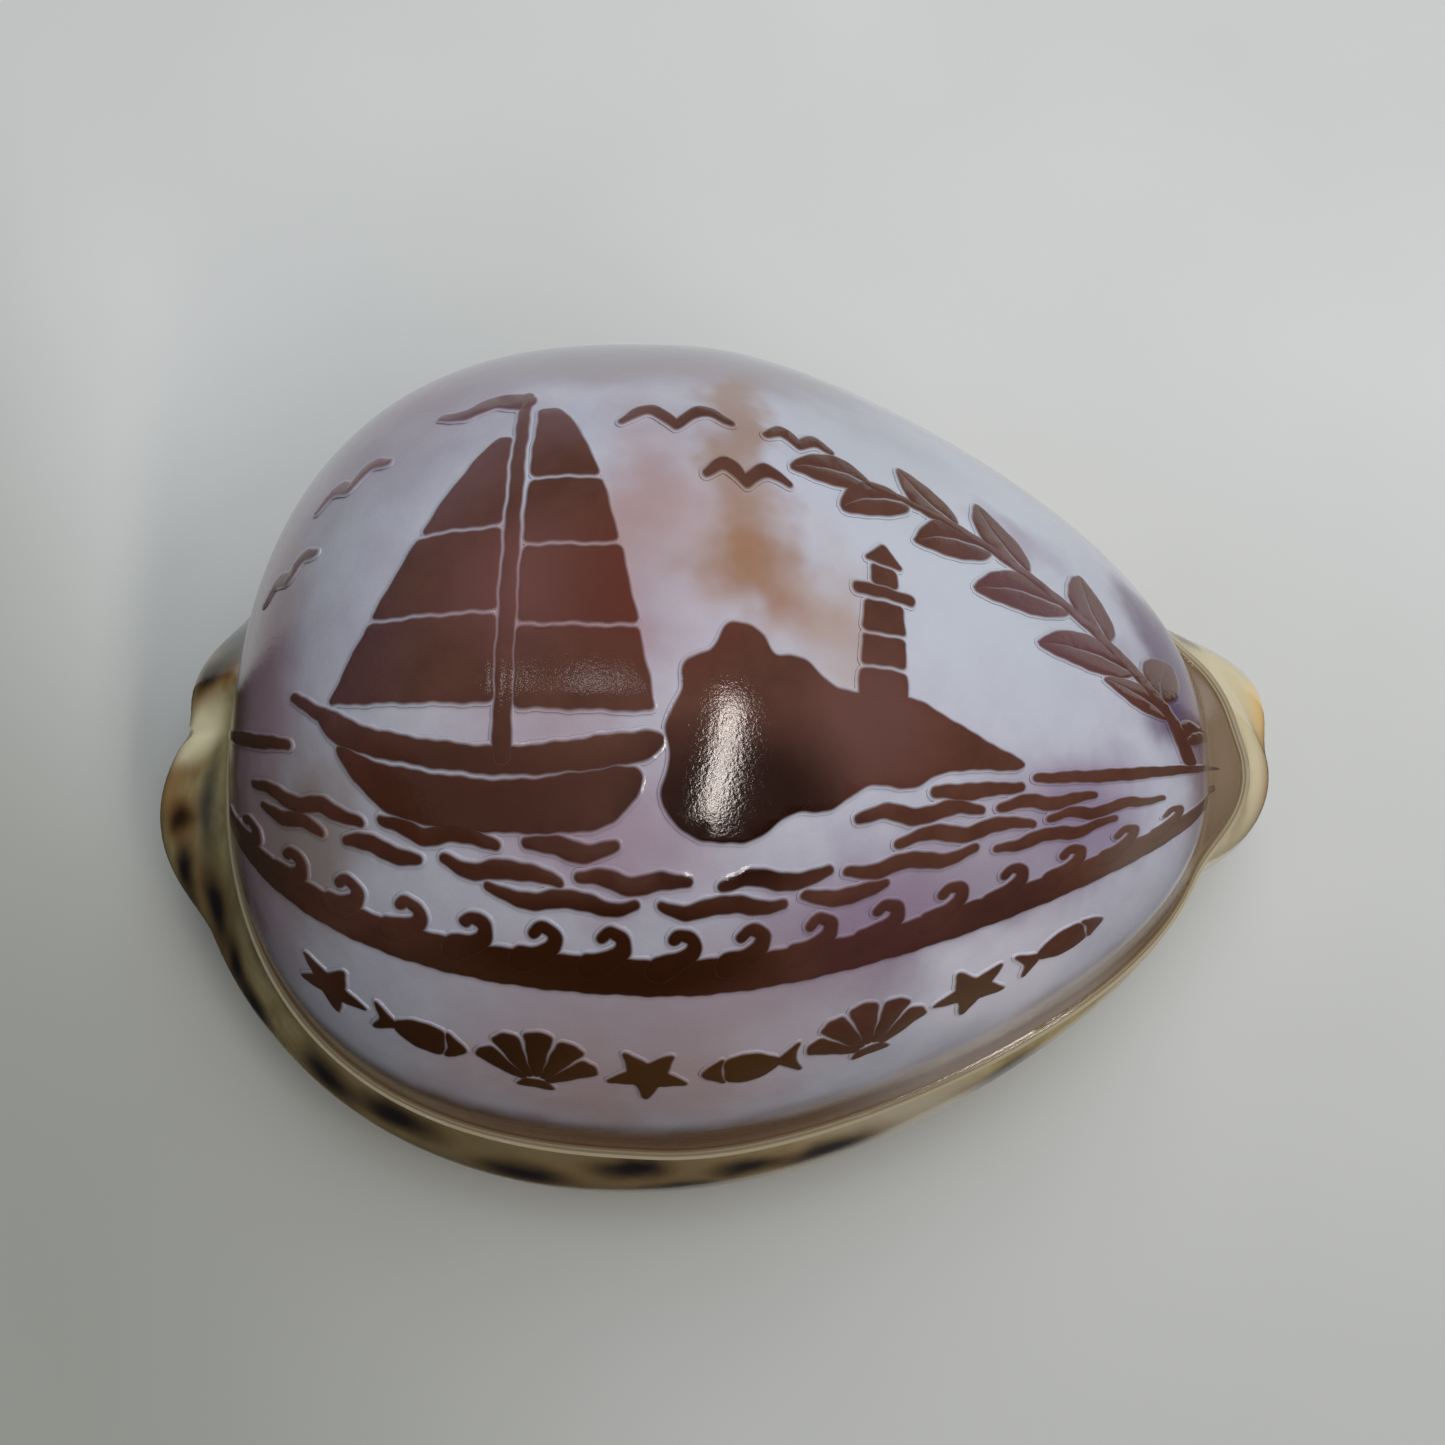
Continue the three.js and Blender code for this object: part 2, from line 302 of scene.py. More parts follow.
WELD = 0.002
shell_mesh = bmesh.new()
bmesh.ops.create_grid(shell_mesh, x_segments=rows - 1, y_segments=columns - 1, size=1)
inside_mark = shell_mesh.verts.layers.float.new("inside")
step_mark = shell_mesh.verts.layers.float.new("step")
kept_marks = [shell_mesh.verts.layers.float.new("kept_" + axis) for axis in "xyz"]
for vert in shell_mesh.verts:
    row = round((vert.co.x + 1) / 2 * (rows - 1))
    column = round((vert.co.y + 1) / 2 * (columns - 1))
    vert[inside_mark] = float(skin_columns <= column < columns - 1)
    vert.co = places[row, column]
bmesh.ops.remove_doubles(shell_mesh, verts=shell_mesh.verts, dist=WELD)
bmesh.ops.dissolve_degenerate(shell_mesh, edges=shell_mesh.edges, dist=WELD)
bmesh.ops.recalc_face_normals(shell_mesh, faces=shell_mesh.faces)

# The step round the polished back. Its thin layers end one above another, so it is cut
# in the mesh along lines at an even distance from the dip line, measured over the surface.
STEP_HEIGHT = 17.2
STEP_NORMAL = np.array(Vector((0.045, -0.086, 1)).normalized())
STEP_PROFILE = ((0, 0), (0.08, 0.17), (0.22, 0.2), (0.29, 0.31), (0.42, 0.34), (0.5, 0.45))
STEP_DEPTH = 0.45
STEP_BAND = 4
STEP_CREASES = (-0.01, 0.7)
STEP_ANGLE = math.radians(24)
SAG, SAG_X, SAG_Y, SAG_WIDTH = 1.9, 36, -6, 12
LEAST_SLOPE = 0.3
CUT_WELD = 0.0005
WELL_BELOW = -9


def from_dip_line(p, normals):
    level = (p - (0, 0, STEP_HEIGHT)) @ STEP_NORMAL
    level = level + SAG * np.exp(-((p[:, 0] - SAG_X) ** 2 + (p[:, 1] - SAG_Y) ** 2) / SAG_WIDTH**2)
    slope = np.sqrt(1 - np.clip(normals @ STEP_NORMAL, -1, 1) ** 2)
    return level / np.maximum(slope, LEAST_SLOPE)


grid_places = np.array([vert.co for vert in shell_mesh.verts])
distances = from_dip_line(grid_places, np.array([vert.normal for vert in shell_mesh.verts]))
for vert, distance in zip(shell_mesh.verts, distances):
    vert[step_mark] = distance
    for mark, value in zip(kept_marks, vert.co):
        vert[mark] = value
for vert in shell_mesh.verts:
    vert.co.z = vert[step_mark]
for distance, _ in STEP_PROFILE:
    near = [
        face
        for face in shell_mesh.faces
        if all(abs(vert[step_mark]) < STEP_BAND and vert[inside_mark] < 0.5 for vert in face.verts)
    ]
    pieces = set(near)
    for face in near:
        pieces.update(face.edges)
        pieces.update(face.verts)
    bmesh.ops.bisect_plane(
        shell_mesh, geom=list(pieces), dist=CUT_WELD, plane_co=(0, 0, distance), plane_no=(0, 0, 1)
    )
for vert in shell_mesh.verts:
    vert.co = [vert[mark] for mark in kept_marks]
    if vert[inside_mark] > 0:
        vert[step_mark] = WELL_BELOW
for mark in kept_marks[::-1]:
    shell_mesh.verts.layers.float.remove(mark)
step_mark = shell_mesh.verts.layers.float["step"]
shell_mesh.normal_update()
distances, drops = zip(*STEP_PROFILE)
lowered = [
    vert.co - vert.normal * np.interp(vert[step_mark], distances, drops)
    for vert in shell_mesh.verts
]
for vert, place in zip(shell_mesh.verts, lowered):
    if vert[step_mark] > 0:
        vert.co = place
for vert in shell_mesh.verts:
    vert.co.z = max(vert.co.z, 0)
bmesh.ops.scale(shell_mesh, vec=(MM, MM, MM), verts=shell_mesh.verts)
for face in shell_mesh.faces:
    face.smooth = True
for edge in shell_mesh.edges:
    in_step = all(STEP_CREASES[0] < vert[step_mark] < STEP_CREASES[1] for vert in edge.verts)
    edge.smooth = not (in_step and edge.calc_face_angle(0) > STEP_ANGLE)
data = bpy.data.meshes.new("shell")
shell_mesh.to_mesh(data)
shell_mesh.free()
shell = bpy.data.objects.new("shell", data)
scene.collection.objects.link(shell)
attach(shell, "root")
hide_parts("cowrie_shell")


def linear(code):
    parts = [int(code[i : i + 2], 16) / 255 for i in (1, 3, 5)]
    return tuple(c / 12.92 if c <= 0.04045 else ((c + 0.055) / 1.055) ** 2.4 for c in parts) + (1,)


def add_node(tree, kind, sockets=None, **settings):
    node = tree.nodes.new(kind)
    for name, value in settings.items():
        setattr(node, name, value)
    for name, value in (sockets or {}).items():
        if isinstance(value, bpy.types.NodeSocket):
            tree.links.new(value, node.inputs[name])
        else:
            node.inputs[name].default_value = value
    return node


def mixed(tree, share, first, second):
    sockets = {"Factor": share, "A": first, "B": second}
    return add_node(tree, "ShaderNodeMix", sockets, data_type="RGBA").outputs["Result"]


def faded(tree, value, start, end, strength=1):
    sockets = {"Value": value, "From Min": start, "From Max": end, "To Max": strength}
    return add_node(tree, "ShaderNodeMapRange", sockets, interpolation_type="SMOOTHSTEP").outputs[0]


def ramped(tree, share, stops):
    node = add_node(tree, "ShaderNodeValToRGB", {"Fac": share})
    elements = node.color_ramp.elements
    while len(elements) < len(stops):
        elements.new(0.5)
    for element, (place, code) in zip(elements, stops):
        element.position = place
        element.color = linear(code)
    return node.outputs["Color"]


def vector(tree, operation, first, second=None, scale=None):
    sockets = {0: first}
    if second is not None:
        sockets[1] = second
    if scale is not None:
        sockets["Scale"] = scale
    return add_node(tree, "ShaderNodeVectorMath", sockets, operation=operation).outputs


def calculated(tree, operation, *values):
    return add_node(tree, "ShaderNodeMath", dict(enumerate(values)), operation=operation).outputs[0]


# each patch is a soft cloud: centre and half sizes in millimetres, colour, strength, and the
# share of the half size that has the full colour
def lay_patches(tree, colour, patches, place):
    for centre, half, code, strength, core in patches:
        away = vector(tree, "SUBTRACT", place, centre)[0]
        away = vector(tree, "DIVIDE", away, half)[0]
        away = vector(tree, "LENGTH", away)["Value"]
        colour = mixed(tree, faded(tree, away, 1, core, strength), colour, linear(code))
    return colour


# Polished shell enamel: soft clouds of lilac, grey and brown under a wet gloss, with the step's
# layers as fine lines round the back, and dark spots that blur into a cream side.
enamel = bpy.data.materials.new("polished_shell_enamel")
enamel.use_nodes = True
tree = enamel.node_tree
tree.nodes.clear()
texture = add_node(tree, "ShaderNodeTexCoord")
skin = vector(tree, "SCALE", texture.outputs["Object"], scale=1 / MM)[0]

# wavering places, so that the clouds and spots have grown edges
WAVER_FREQUENCY, WAVER, RUFFLE = 0.16, 9, 0.3
waver = add_node(tree, "ShaderNodeTexNoise", {"Vector": skin, "Scale": WAVER_FREQUENCY, "Detail": 3})
waver = vector(tree, "SUBTRACT", waver.outputs["Color"], (0.5, 0.5, 0.5))[0]
waver = vector(tree, "SCALE", waver, scale=WAVER)[0]
wavered = vector(tree, "ADD", skin, waver)[0]
ruffle = vector(tree, "SCALE", waver, scale=RUFFLE)[0]
ruffled = vector(tree, "ADD", skin, ruffle)[0]

# the pale layer that the acid laid bare
GROUND_GREY, GROUND_PALE = "#9c9cab", "#b4b7c2"
CLOUDS = (
    ((16, 8, 36), (20, 17, 16), "#acb3bd", 0.9, 0.2),
    ((10, 13, 38), (16, 8, 10), "#a0a4ad", 0.6, 0.2),
    ((0, 21, 37), (34, 9, 10), "#85848b", 0.85, 0.2),
    ((25, 6, 31), (12, 8, 10), "#9a9eaa", 0.6, 0.1),
    ((-29, -2, 28), (8, 26, 24), "#8d727a", 0.85, 0.3),
    ((-19, 14, 35), (14, 11, 13), "#7f6a78", 0.75, 0.1),
    ((-4, 17, 38), (16, 6, 9), "#8d8288", 0.7, 0.1),
    ((-9, -3, 46), (12, 11, 9), "#8c6c72", 0.85, 0.1),
    ((-4, 6, 46), (6, 11, 8), "#947672", 0.75, 0.1),
    ((0.7, 11, 42), (2.6, 12, 9), "#866548", 0.7, 0.2),
    ((1.6, 3, 46), (5, 7, 5), "#86603e", 0.85, 0.2),
    ((6, -1, 43.5), (6, 7, 6), "#957d6e", 0.75, 0.1),
    ((3, 1, 45), (4, 6, 5), "#866148", 0.8, 0.1),
    ((31, 4, 24), (7, 9.5, 10.5), "#4b3754", 0.93, 0.4),
    ((32, 9, 20), (5, 7, 9), "#58445f", 0.8, 0.2),
    ((20, 9, 33), (9, 2.5, 4), "#83788c", 0.6, 0.1),
    ((10, -16, 34), (16, 9, 8), "#765a74", 0.75, 0.1),
    ((18, -11, 31), (15, 8, 9), "#877c8c", 0.7, 0.2),
    ((-23, -12, 34), (9, 7, 9), "#7c6f66", 0.8, 0.2),
    ((23, -8, 30), (11, 6, 8), "#7a6a84", 0.7, 0.1),
    ((-6, -13, 42), (12, 6, 7), "#8e7484", 0.7, 0.1),
    ((0, -22, 33), (26, 7, 9), "#96868e", 0.8, 0.1),
    ((-6, -26, 26), (26, 7, 9), "#98807f", 0.8, 0.1),
    ((20, -18, 25), (12, 8, 8), "#c4c3cf", 0.85, 0.2),
    ((33.5, -1, 20), (4, 10, 7), "#7a6560", 0.7, 0.2),
    ((-32.5, -7, 27), (5.2, 18, 8.5), "#6a5348", 0.9, 0.45),
)
grain = add_node(
    tree, "ShaderNodeTexNoise", {"Vector": skin, "Scale": 0.35, "Detail": 6, "Roughness": 0.6}
).outputs["Fac"]
ground = mixed(tree, grain, linear(GROUND_GREY), linear(GROUND_PALE))
ground = lay_patches(tree, ground, CLOUDS, wavered)

# the brown band just above the step; the step attribute is the distance from the dip line over
# the surface, in millimetres
BAND_START, BAND_END, BAND_WAVER, BAND_STRENGTH = 1.4, 5.4, -3.2, 0.96
BAND_GRAIN = ((0.3, "#57422e"), (0.7, "#654e38"))
BAND_BROWNS = (
    ((-5, -27, 20), (21, 9, 9), "#54320f", 0.96, 0.4),
    ((23, -20, 17), (19, 9, 9), "#8a7e77", 0.92, 0.4),
    ((34, 0, 17), (9, 12, 8), "#76664f", 0.85, 0.2),
    ((-30, 0, 20), (9, 20, 10), "#4c3828", 0.9, 0.3),
)
step = add_node(tree, "ShaderNodeAttribute", attribute_name="step").outputs["Fac"]
band_noise = add_node(tree, "ShaderNodeTexNoise", {"Vector": skin, "Scale": 0.14, "Detail": 3})
band_place = calculated(tree, "MULTIPLY_ADD", band_noise.outputs["Fac"], BAND_WAVER, step)
band = faded(tree, band_place, BAND_END, BAND_START, BAND_STRENGTH)
band_colour = lay_patches(tree, ramped(tree, grain, BAND_GRAIN), BAND_BROWNS, skin)
ground = mixed(tree, band, ground, band_colour)

# the brown layer, full on the raised strokes and thinning out to nothing at their feet
STROKE_GRAIN = ((0.3, "#472b22"), (0.7, "#55372d"))
STROKE_EDGE = 0.05
BROWNS = (
    ((-20, 9, 38), (15, 11, 12), "#745a62", 0.9, 0.2),
    ((-8, 12, 43), (7, 5, 6), "#664b4c", 0.8, 0.2),
    ((-21, -3, 41), (7, 7, 8), "#52383a", 0.8, 0.2),
    ((-11, 0, 46), (8, 6, 6), "#623f3c", 0.8, 0.2),
    ((-3, 0, 46), (8, 8, 7), "#552a20", 0.85, 0.2),
    ((9, -6, 41), (7, 6, 7), "#5c3d38", 0.8, 0.2),
    ((20, 2, 34), (12, 10, 10), "#5c4043", 0.8, 0.2),
    ((-14, -12, 41), (12, 7, 8), "#3f2318", 0.85, 0.3),
    ((2, -12, 42), (9, 7, 8), "#1f0b04", 0.95, 0.35),
    ((-5, -19, 37), (15, 5, 7), "#2f1608", 0.96, 0.4),
    ((10, -17, 33), (7, 5, 6), "#442827", 0.85, 0.3),
    ((19, -15, 30), (8, 6, 6), "#3e2420", 0.8, 0.3),
    ((-15, -22, 29), (14, 7, 10), "#36200f", 0.95, 0.4),
    ((1, -25, 26), (14, 6, 9), "#452d14", 0.95, 0.4),
    ((16, -20, 23), (8, 7, 8), "#543f2e", 0.9, 0.35),
    ((29, -10, 22), (8, 9, 12), "#66564c", 0.9, 0.3),
    ((34, -2, 19), (4, 8, 6), "#5e504c", 0.7, 0.2),
    ((-28, -11, 29), (7, 10, 12), "#453125", 0.9, 0.3),
)
stroke_colour = lay_patches(tree, ramped(tree, grain, STROKE_GRAIN), BROWNS, skin)
stroke = add_node(tree, "ShaderNodeAttribute", attribute_name="stroke").outputs["Fac"]
ground = mixed(tree, faded(tree, stroke, STROKE_EDGE, 1), ground, stroke_colour)

# the step's cut layers, light and dark by turns
LAYERS_FROM, LAYERS_TO = -0.1, 0.6
LAYERS = (
    (0.1, "#968a70"),
    (0.24, "#9c947e"),
    (0.38, "#8a7f69"),
    (0.5, "#786c56"),
    (0.62, "#9c927b"),
    (0.76, "#6e5f48"),
    (0.9, "#5f4c35"),
)
layer_place = add_node(
    tree, "ShaderNodeMapRange", {"Value": step, "From Min": LAYERS_FROM, "From Max": LAYERS_TO}
)
layers = ramped(tree, layer_place.outputs[0], LAYERS)

# the far side's skin: scattered spots of uneven size, dark in an orange-brown halo
SKIN_GRAIN = ((0.3, "#8b7c55"), (0.7, "#b3a67b"))
SIZE_SPREAD = 0.22
FAR_FROM, FAR_TO = -8, 6
FAR_SPOTS = ((0.62, 0.38, "#8a5c2c"), (0.46, 0.22, "#1f1c22"))
side = ramped(tree, grain, SKIN_GRAIN)
scatter = add_node(
    tree, "ShaderNodeTexVoronoi", {"Vector": wavered, "Scale": 0.135, "Randomness": 0.9}
)
drawn = add_node(tree, "ShaderNodeSeparateColor", {"Color": scatter.outputs["Color"]}).outputs["Red"]
from_spot = calculated(tree, "MULTIPLY_ADD", drawn, SIZE_SPREAD, scatter.outputs["Distance"])
across_shell = add_node(tree, "ShaderNodeSeparateXYZ", {0: skin}).outputs["Y"]
far = add_node(
    tree, "ShaderNodeMapRange", {"Value": across_shell, "From Min": FAR_FROM, "From Max": FAR_TO}
).outputs[0]
for edge_at, full_at, code in FAR_SPOTS:
    mask = calculated(tree, "MULTIPLY", faded(tree, from_spot, edge_at, full_at), far)
    side = mixed(tree, mask, side, linear(code))

# the near side's skin: cream that darkens in places, with the spots that it shows one by one
MARGIN_SHADES = (
    ((-8, -28, 12), (22, 6, 8), "#71644a", 0.8, 0.4),
    ((-35, -12, 11), (5, 9, 7), "#675a3e", 0.8, 0.3),
    ((15, -25, 12), (12, 6, 7), "#aba390", 0.85, 0.35),
)
SPOTS = (
    ((-20.5, -25.5, 14.0), (4.2, 2.6, 2.2)),
    ((-25.4, -23.0, 13.0), (2.6, 2.6, 2.4)),
    ((-11.9, -29.0, 11.4), (3.6, 2.6, 2.2)),
    ((-4.6, -28.3, 13.6), (3.0, 2.6, 1.7)),
    ((-1.2, -29.4, 10.0), (3.4, 2.6, 1.5)),
    ((3.0, -28.2, 12.6), (2.6, 2.6, 1.3)),
    ((8.6, -26.6, 12.2), (4.0, 2.6, 1.8)),
    ((20.5, -20.5, 12.2), (3.2, 2.8, 1.8)),
    ((-37.6, -8.4, 11.0), (1.1, 3.0, 2.6)),
    ((-35.4, -12.0, 12.0), (1.2, 3.4, 2.4)),
    ((-33.6, -15.6, 11.6), (1.5, 2.6, 2.2)),
    ((-31.5, -18.0, 10.5), (2.2, 2.8, 2.4)),
)
# halo first, then the dark core: size against the spot's, colour, strength, full share
SPOT_RINGS = ((1.9, "#745a36", 0.6, 0.3), (1.35, "#17151a", 0.97, 0.15))
side = lay_patches(tree, side, MARGIN_SHADES, ruffled)
for growth, code, strength, core in SPOT_RINGS:
    rings = [
        (centre, [growth * part for part in half], code, strength, core) for centre, half in SPOTS
    ]
    side = lay_patches(tree, side, rings, ruffled)

# the ends: pale and orange at the front, dark and cream by turns at the rear
ENDS = (
    ((39, 3, 9), (11, 17, 13), "#b8af90", 0.97, 0.6),
    ((37.2, -1.5, 14.6), (1.2, 7.5, 4), "#7b6a55", 0.7, 0.1),
    ((38.9, 0, 13.5), (1.5, 7, 4), "#c2b69b", 0.7, 0.1),
    ((40.3, 6.2, 11.2), (2.6, 5.2, 6), "#d2b071", 0.85, 0.1),
    ((41.2, -0.5, 10.6), (3.4, 7.5, 5.4), "#a07a50", 0.85, 0.1),
    ((34.0, 10.2, 15.4), (2.6, 1.4, 1.6), "#4a3726", 0.8, 0.3),
    ((-35.4, 8.6, 13), (4.6, 4.0, 7), "#4a4b47", 0.92, 0.3),
    ((-37.9, 4.3, 11.8), (3.4, 2.5, 6), "#8d6232", 0.85, 0.1),
    ((-37.4, 6.0, 11.8), (2.9, 1.9, 5), "#201813", 0.95, 0.15),
    ((-38.4, 1.5, 12), (5.2, 3.9, 8), "#efe5bd", 0.95, 0.3),
    ((-40.2, -2.4, 11), (2.8, 2.8, 6), "#b08a56", 0.7, 0.1),
    ((-38.5, -5.0, 13.0), (3.6, 3.0, 5), "#825a30", 0.85, 0.1),
    ((-38.2, -5.3, 13.2), (2.2, 2.0, 3.6), "#24180f", 0.95, 0.1),
    ((-35.8, -5.6, 16.0), (1.8, 8.0, 5.0), "#2c2f33", 0.95, 0.1),
)
side = lay_patches(tree, side, ENDS, ruffled)

# the pale base, and the lilac inside
BASE_FROM, BASE_TO = 6.5, 2.5
BASE_CREAM, INSIDE_LILAC = "#ddd5c0", "#cfc3cc"
height = add_node(tree, "ShaderNodeSeparateXYZ", {0: wavered}).outputs["Z"]
side = mixed(tree, faded(tree, height, BASE_FROM, BASE_TO), side, linear(BASE_CREAM))
inside = add_node(tree, "ShaderNodeAttribute", attribute_name="inside").outputs["Fac"]
side = mixed(tree, inside, side, linear(INSIDE_LILAC))

# skin below the step, cut layers in it, ground above it
STEP_FOOT, STEP_HEAD = -0.02, 0.51
below = calculated(tree, "LESS_THAN", step, STEP_FOOT)
above = calculated(tree, "GREATER_THAN", step, STEP_HEAD)
colour = mixed(tree, above, layers, ground)
colour = mixed(tree, calculated(tree, "MAXIMUM", below, inside), colour, side)

# the polish is full of fine pits, so a bright light breaks up into grains
PIT_DEPTH = 0.015 * MM
pits = add_node(
    tree, "ShaderNodeTexNoise", {"Vector": skin, "Scale": 4, "Detail": 3, "Roughness": 0.65}
)
pits = add_node(tree, "ShaderNodeBump", {"Height": pits.outputs["Fac"], "Distance": PIT_DEPTH})
gloss = add_node(
    tree,
    "ShaderNodeBsdfPrincipled",
    {"Base Color": colour, "Roughness": 0.1, "IOR": 1.53, "Normal": pits.outputs["Normal"]},
)
add_node(tree, "ShaderNodeOutputMaterial", {"Surface": gloss.outputs[0]})
shell.data.materials.append(enamel)

# Decoration: what is left of the brown layer that lies just under the spotted skin.
# The maker drew on the dipped shell with wax and dipped it again, so the acid took the rest
# down to the pale layer and each stroke stands a little proud, with a hand-cut edge.

# Outlines are drawn flat in millimetres, a to the front end and b round the back from its top.
DESIGN_RISE, OVERLAP_RISE, DESIGN_SINK, DESIGN_FOOT = 0.045, 0.006, 0.02, 0.2
SKIRT = 0.26
LONGEST_EDGE, CORNER_CUTS, CORNER_SHARE = 0.7, 2, 0.25
LEAF_STEPS, LEAF_ROUNDNESS, LEAST_LEAF = 13, 0.8, 0.02
PANEL_STEPS = 6
outlines = []


# a smooth line that passes through every point
def through(points, steps=8, closed=False):
    p = np.array(points, float)
    if closed:
        p = np.vstack((p[-1:], p, p[:2]))
    else:
        p = np.vstack((2 * p[:1] - p[1:2], p, 2 * p[-1:] - p[-2:-1]))
    t = np.linspace(0, 1, steps, endpoint=False)[:, None]
    pieces = [
        0.5 * (2 * b + (c - a) * t + (2 * a - 5 * b + 4 * c - d) * t**2 + (3 * b - 3 * c + d - a) * t**3)
        for a, b, c, d in zip(p, p[1:], p[2:], p[3:])
    ]
    return np.vstack(pieces if closed else pieces + [p[-2:-1]])


def add_outline(points, layer=0):
    p = np.array(points, float)
    line = []
    for start, end in zip(p, np.roll(p, -1, axis=0)):
        count = max(1, math.ceil(np.linalg.norm(end - start) / LONGEST_EDGE))
        line.append(start + (end - start) * np.arange(count)[:, None] / count)
    p = np.vstack(line)
    for _ in range(CORNER_CUTS):
        after = np.roll(p, -1, axis=0)
        near, far = 1 - CORNER_SHARE, CORNER_SHARE
        p = np.stack((near * p + far * after, far * p + near * after), 1).reshape(-1, 2)
    outlines.append((p, layer))


def add_stroke(points, widths, layer=0, steps=6, ends=4):
    line = through(points, steps)
    shares = np.linspace(0, 1, len(line))
    half = np.interp(shares, np.linspace(0, 1, len(widths)), widths)[:, None] / 2
    way = np.gradient(line, axis=0)
    way /= np.linalg.norm(way, axis=1)[:, None]
    side = np.stack((-way[:, 1], way[:, 0]), 1)
    turns = np.linspace(0, math.pi, ends + 2)[1:-1, None]
    tip = line[-1] + half[-1] * (np.cos(turns) * side[-1] + np.sin(turns) * way[-1])
    root = line[0] - half[0] * (np.cos(turns) * side[0] + np.sin(turns) * way[0])
    add_outline(np.vstack((line + side * half, tip, (line - side * half)[::-1], root)), layer)


def add_leaf(root, way, length, width, bend, slit=0.3):
    side = np.array((-way[1], way[0]))
    t = np.linspace(0, 1, LEAF_STEPS)
    rib = root + np.outer(t * length, way) + np.outer(bend * 4 * t * (1 - t), side)
    half = width / 2 * np.sin(math.pi * t**LEAF_ROUNDNESS).clip(0) ** LEAF_ROUNDNESS
    vein = slit / 2 * np.sqrt(1 - t)
    for edge in (1, -1):
        inner = rib + np.outer(edge * vein, side)
        outer = rib + np.outer(edge * np.maximum(half, vein + LEAST_LEAF), side)
        add_outline(np.vstack((inner, outer[::-1][1:-1])))


def add_panels(left, right, seams, gap=0.35):
    for low, high in zip(seams, seams[1:]):
        rise = np.linspace(low + gap / 2, high - gap / 2, PANEL_STEPS)
        left_edge = np.stack((left(rise), rise), 1)
        right_edge = np.stack((right(rise), rise), 1)
        add_outline(np.vstack((left_edge, right_edge[::-1])))


def placed(points, centre, turn, scale=1.0):
    p = np.array(points, float) * scale
    spin = np.array(((math.cos(turn), -math.sin(turn)), (math.sin(turn), math.cos(turn))))
    return p @ spin.T + np.array(centre)


# sailing boat: hull and upper strake, mast, bowsprit, two sails in panels, pennant
UPPER_STRAKE = (
    (-22.6, -7.0), (-18.5, -8.3), (-11, -8.9), (-3.2, -8.0),
    (-3.7, -9.2), (-11, -10.0), (-18.3, -9.5), (-21.6, -8.7),
)
LOWER_HULL = (
    (-21.2, -9.1), (-18.2, -9.9), (-11, -10.4), (-3.9, -9.6),
    (-5, -11.9), (-9, -12.6), (-16.5, -12.5), (-19.4, -11.2),
)
MAST, MAST_WIDTHS = ((-11.2, -9.2), (-11.3, 0), (-11.6, 10.4)), (0.9, 0.5)
BOWSPRIT, BOWSPRIT_WIDTHS = ((-21.6, -7.8), (-24.6, -6.3)), (0.7, 0.4)
PENNANT = ((-11.7, 9.8), (-13.5, 10.3), (-15.2, 9.6), (-16.8, 10.0))
PENNANT_WIDTHS = (1.3, 1.0, 0.4)
REAR_SEAMS, REAR_LUFF = (-7.2, -3.4, 0.4, 4.0, 9.1), -10.6
REAR_HEAD_A, REAR_HEAD, REAR_FOOT, REAR_DROP, REAR_CURVE = -10.4, 9.4, 7.4, 16.6, 0.62
FORE_SEAMS, FORE_LUFF, FORE_LEAN = (-7.0, -2.8, 1.4, 7.0), -12.0, 0.02
FORE_HEAD_A, FORE_HEAD, FORE_FOOT, FORE_DROP, FORE_CURVE = -12.3, 7.4, 9.6, 14.4, 0.86
add_outline(through(UPPER_STRAKE, 4, True))
add_outline(through(LOWER_HULL, 4, True))
add_stroke(MAST, MAST_WIDTHS, 1)
add_stroke(BOWSPRIT, BOWSPRIT_WIDTHS, 1)
add_panels(
    lambda b: REAR_LUFF + 0 * b,
    lambda b: REAR_HEAD_A + REAR_FOOT * ((REAR_HEAD - b) / REAR_DROP).clip(0) ** REAR_CURVE,
    REAR_SEAMS,
)
add_panels(
    lambda b: FORE_HEAD_A - FORE_FOOT * ((FORE_HEAD - b) / FORE_DROP).clip(0) ** FORE_CURVE,
    lambda b: FORE_LUFF - FORE_LEAN * b,
    FORE_SEAMS,
)
add_stroke(PENNANT, PENNANT_WIDTHS, 1)

# headland with a light tower, and the sea's horizon
HEADLAND = (
    (-2.4, -11.0), (-2.0, -9.2), (-2.3, -7.7), (-1.5, -6.2), (-1.4, -4.9), (0.1, -4.3),
    (0.9, -3.1), (2.6, -3.3), (3.5, -4.3), (5.1, -4.3), (6.4, -5.3), (8.0, -5.6),
    (11.5, -5.6), (14.6, -6.9), (18.6, -9.0), (14, -9.3), (11.4, -10.3), (9, -10.1),
    (7.0, -11.3), (4.7, -11.5), (2.2, -12.8), (-0.8, -12.5),
)
TOWER_SEAMS = (-5.9, -4.1, -2.3, -0.4)
TOWER_FOOT, TOWER_LEFT, TOWER_RIGHT, TOWER_TAPER = -5.9, 8.3, 11.1, 0.06
GALLERY, GALLERY_WIDTHS = ((8.1, 0.05), (11.3, 0.05)), (0.5, 0.5)
LANTERN = ((9.0, 0.5), (10.4, 0.5), (10.4, 1.5), (9.0, 1.5))
TOWER_ROOF = ((8.6, 1.8), (10.8, 1.8), (9.7, 3.0))
HORIZON = (
    (((-32.5, -8.4), (-29, -8.9), (-25, -9.1)), (0.9, 1.0, 0.5)),
    (((19.6, -9.8), (26, -9.5), (35.2, -8.4)), (0.5, 1.0, 0.9)),
    (((13.0, -10.6), (15, -10.6), (18.4, -10.4)), (0.5, 0.9, 0.5)),
)
add_outline(through(HEADLAND, 5, True))
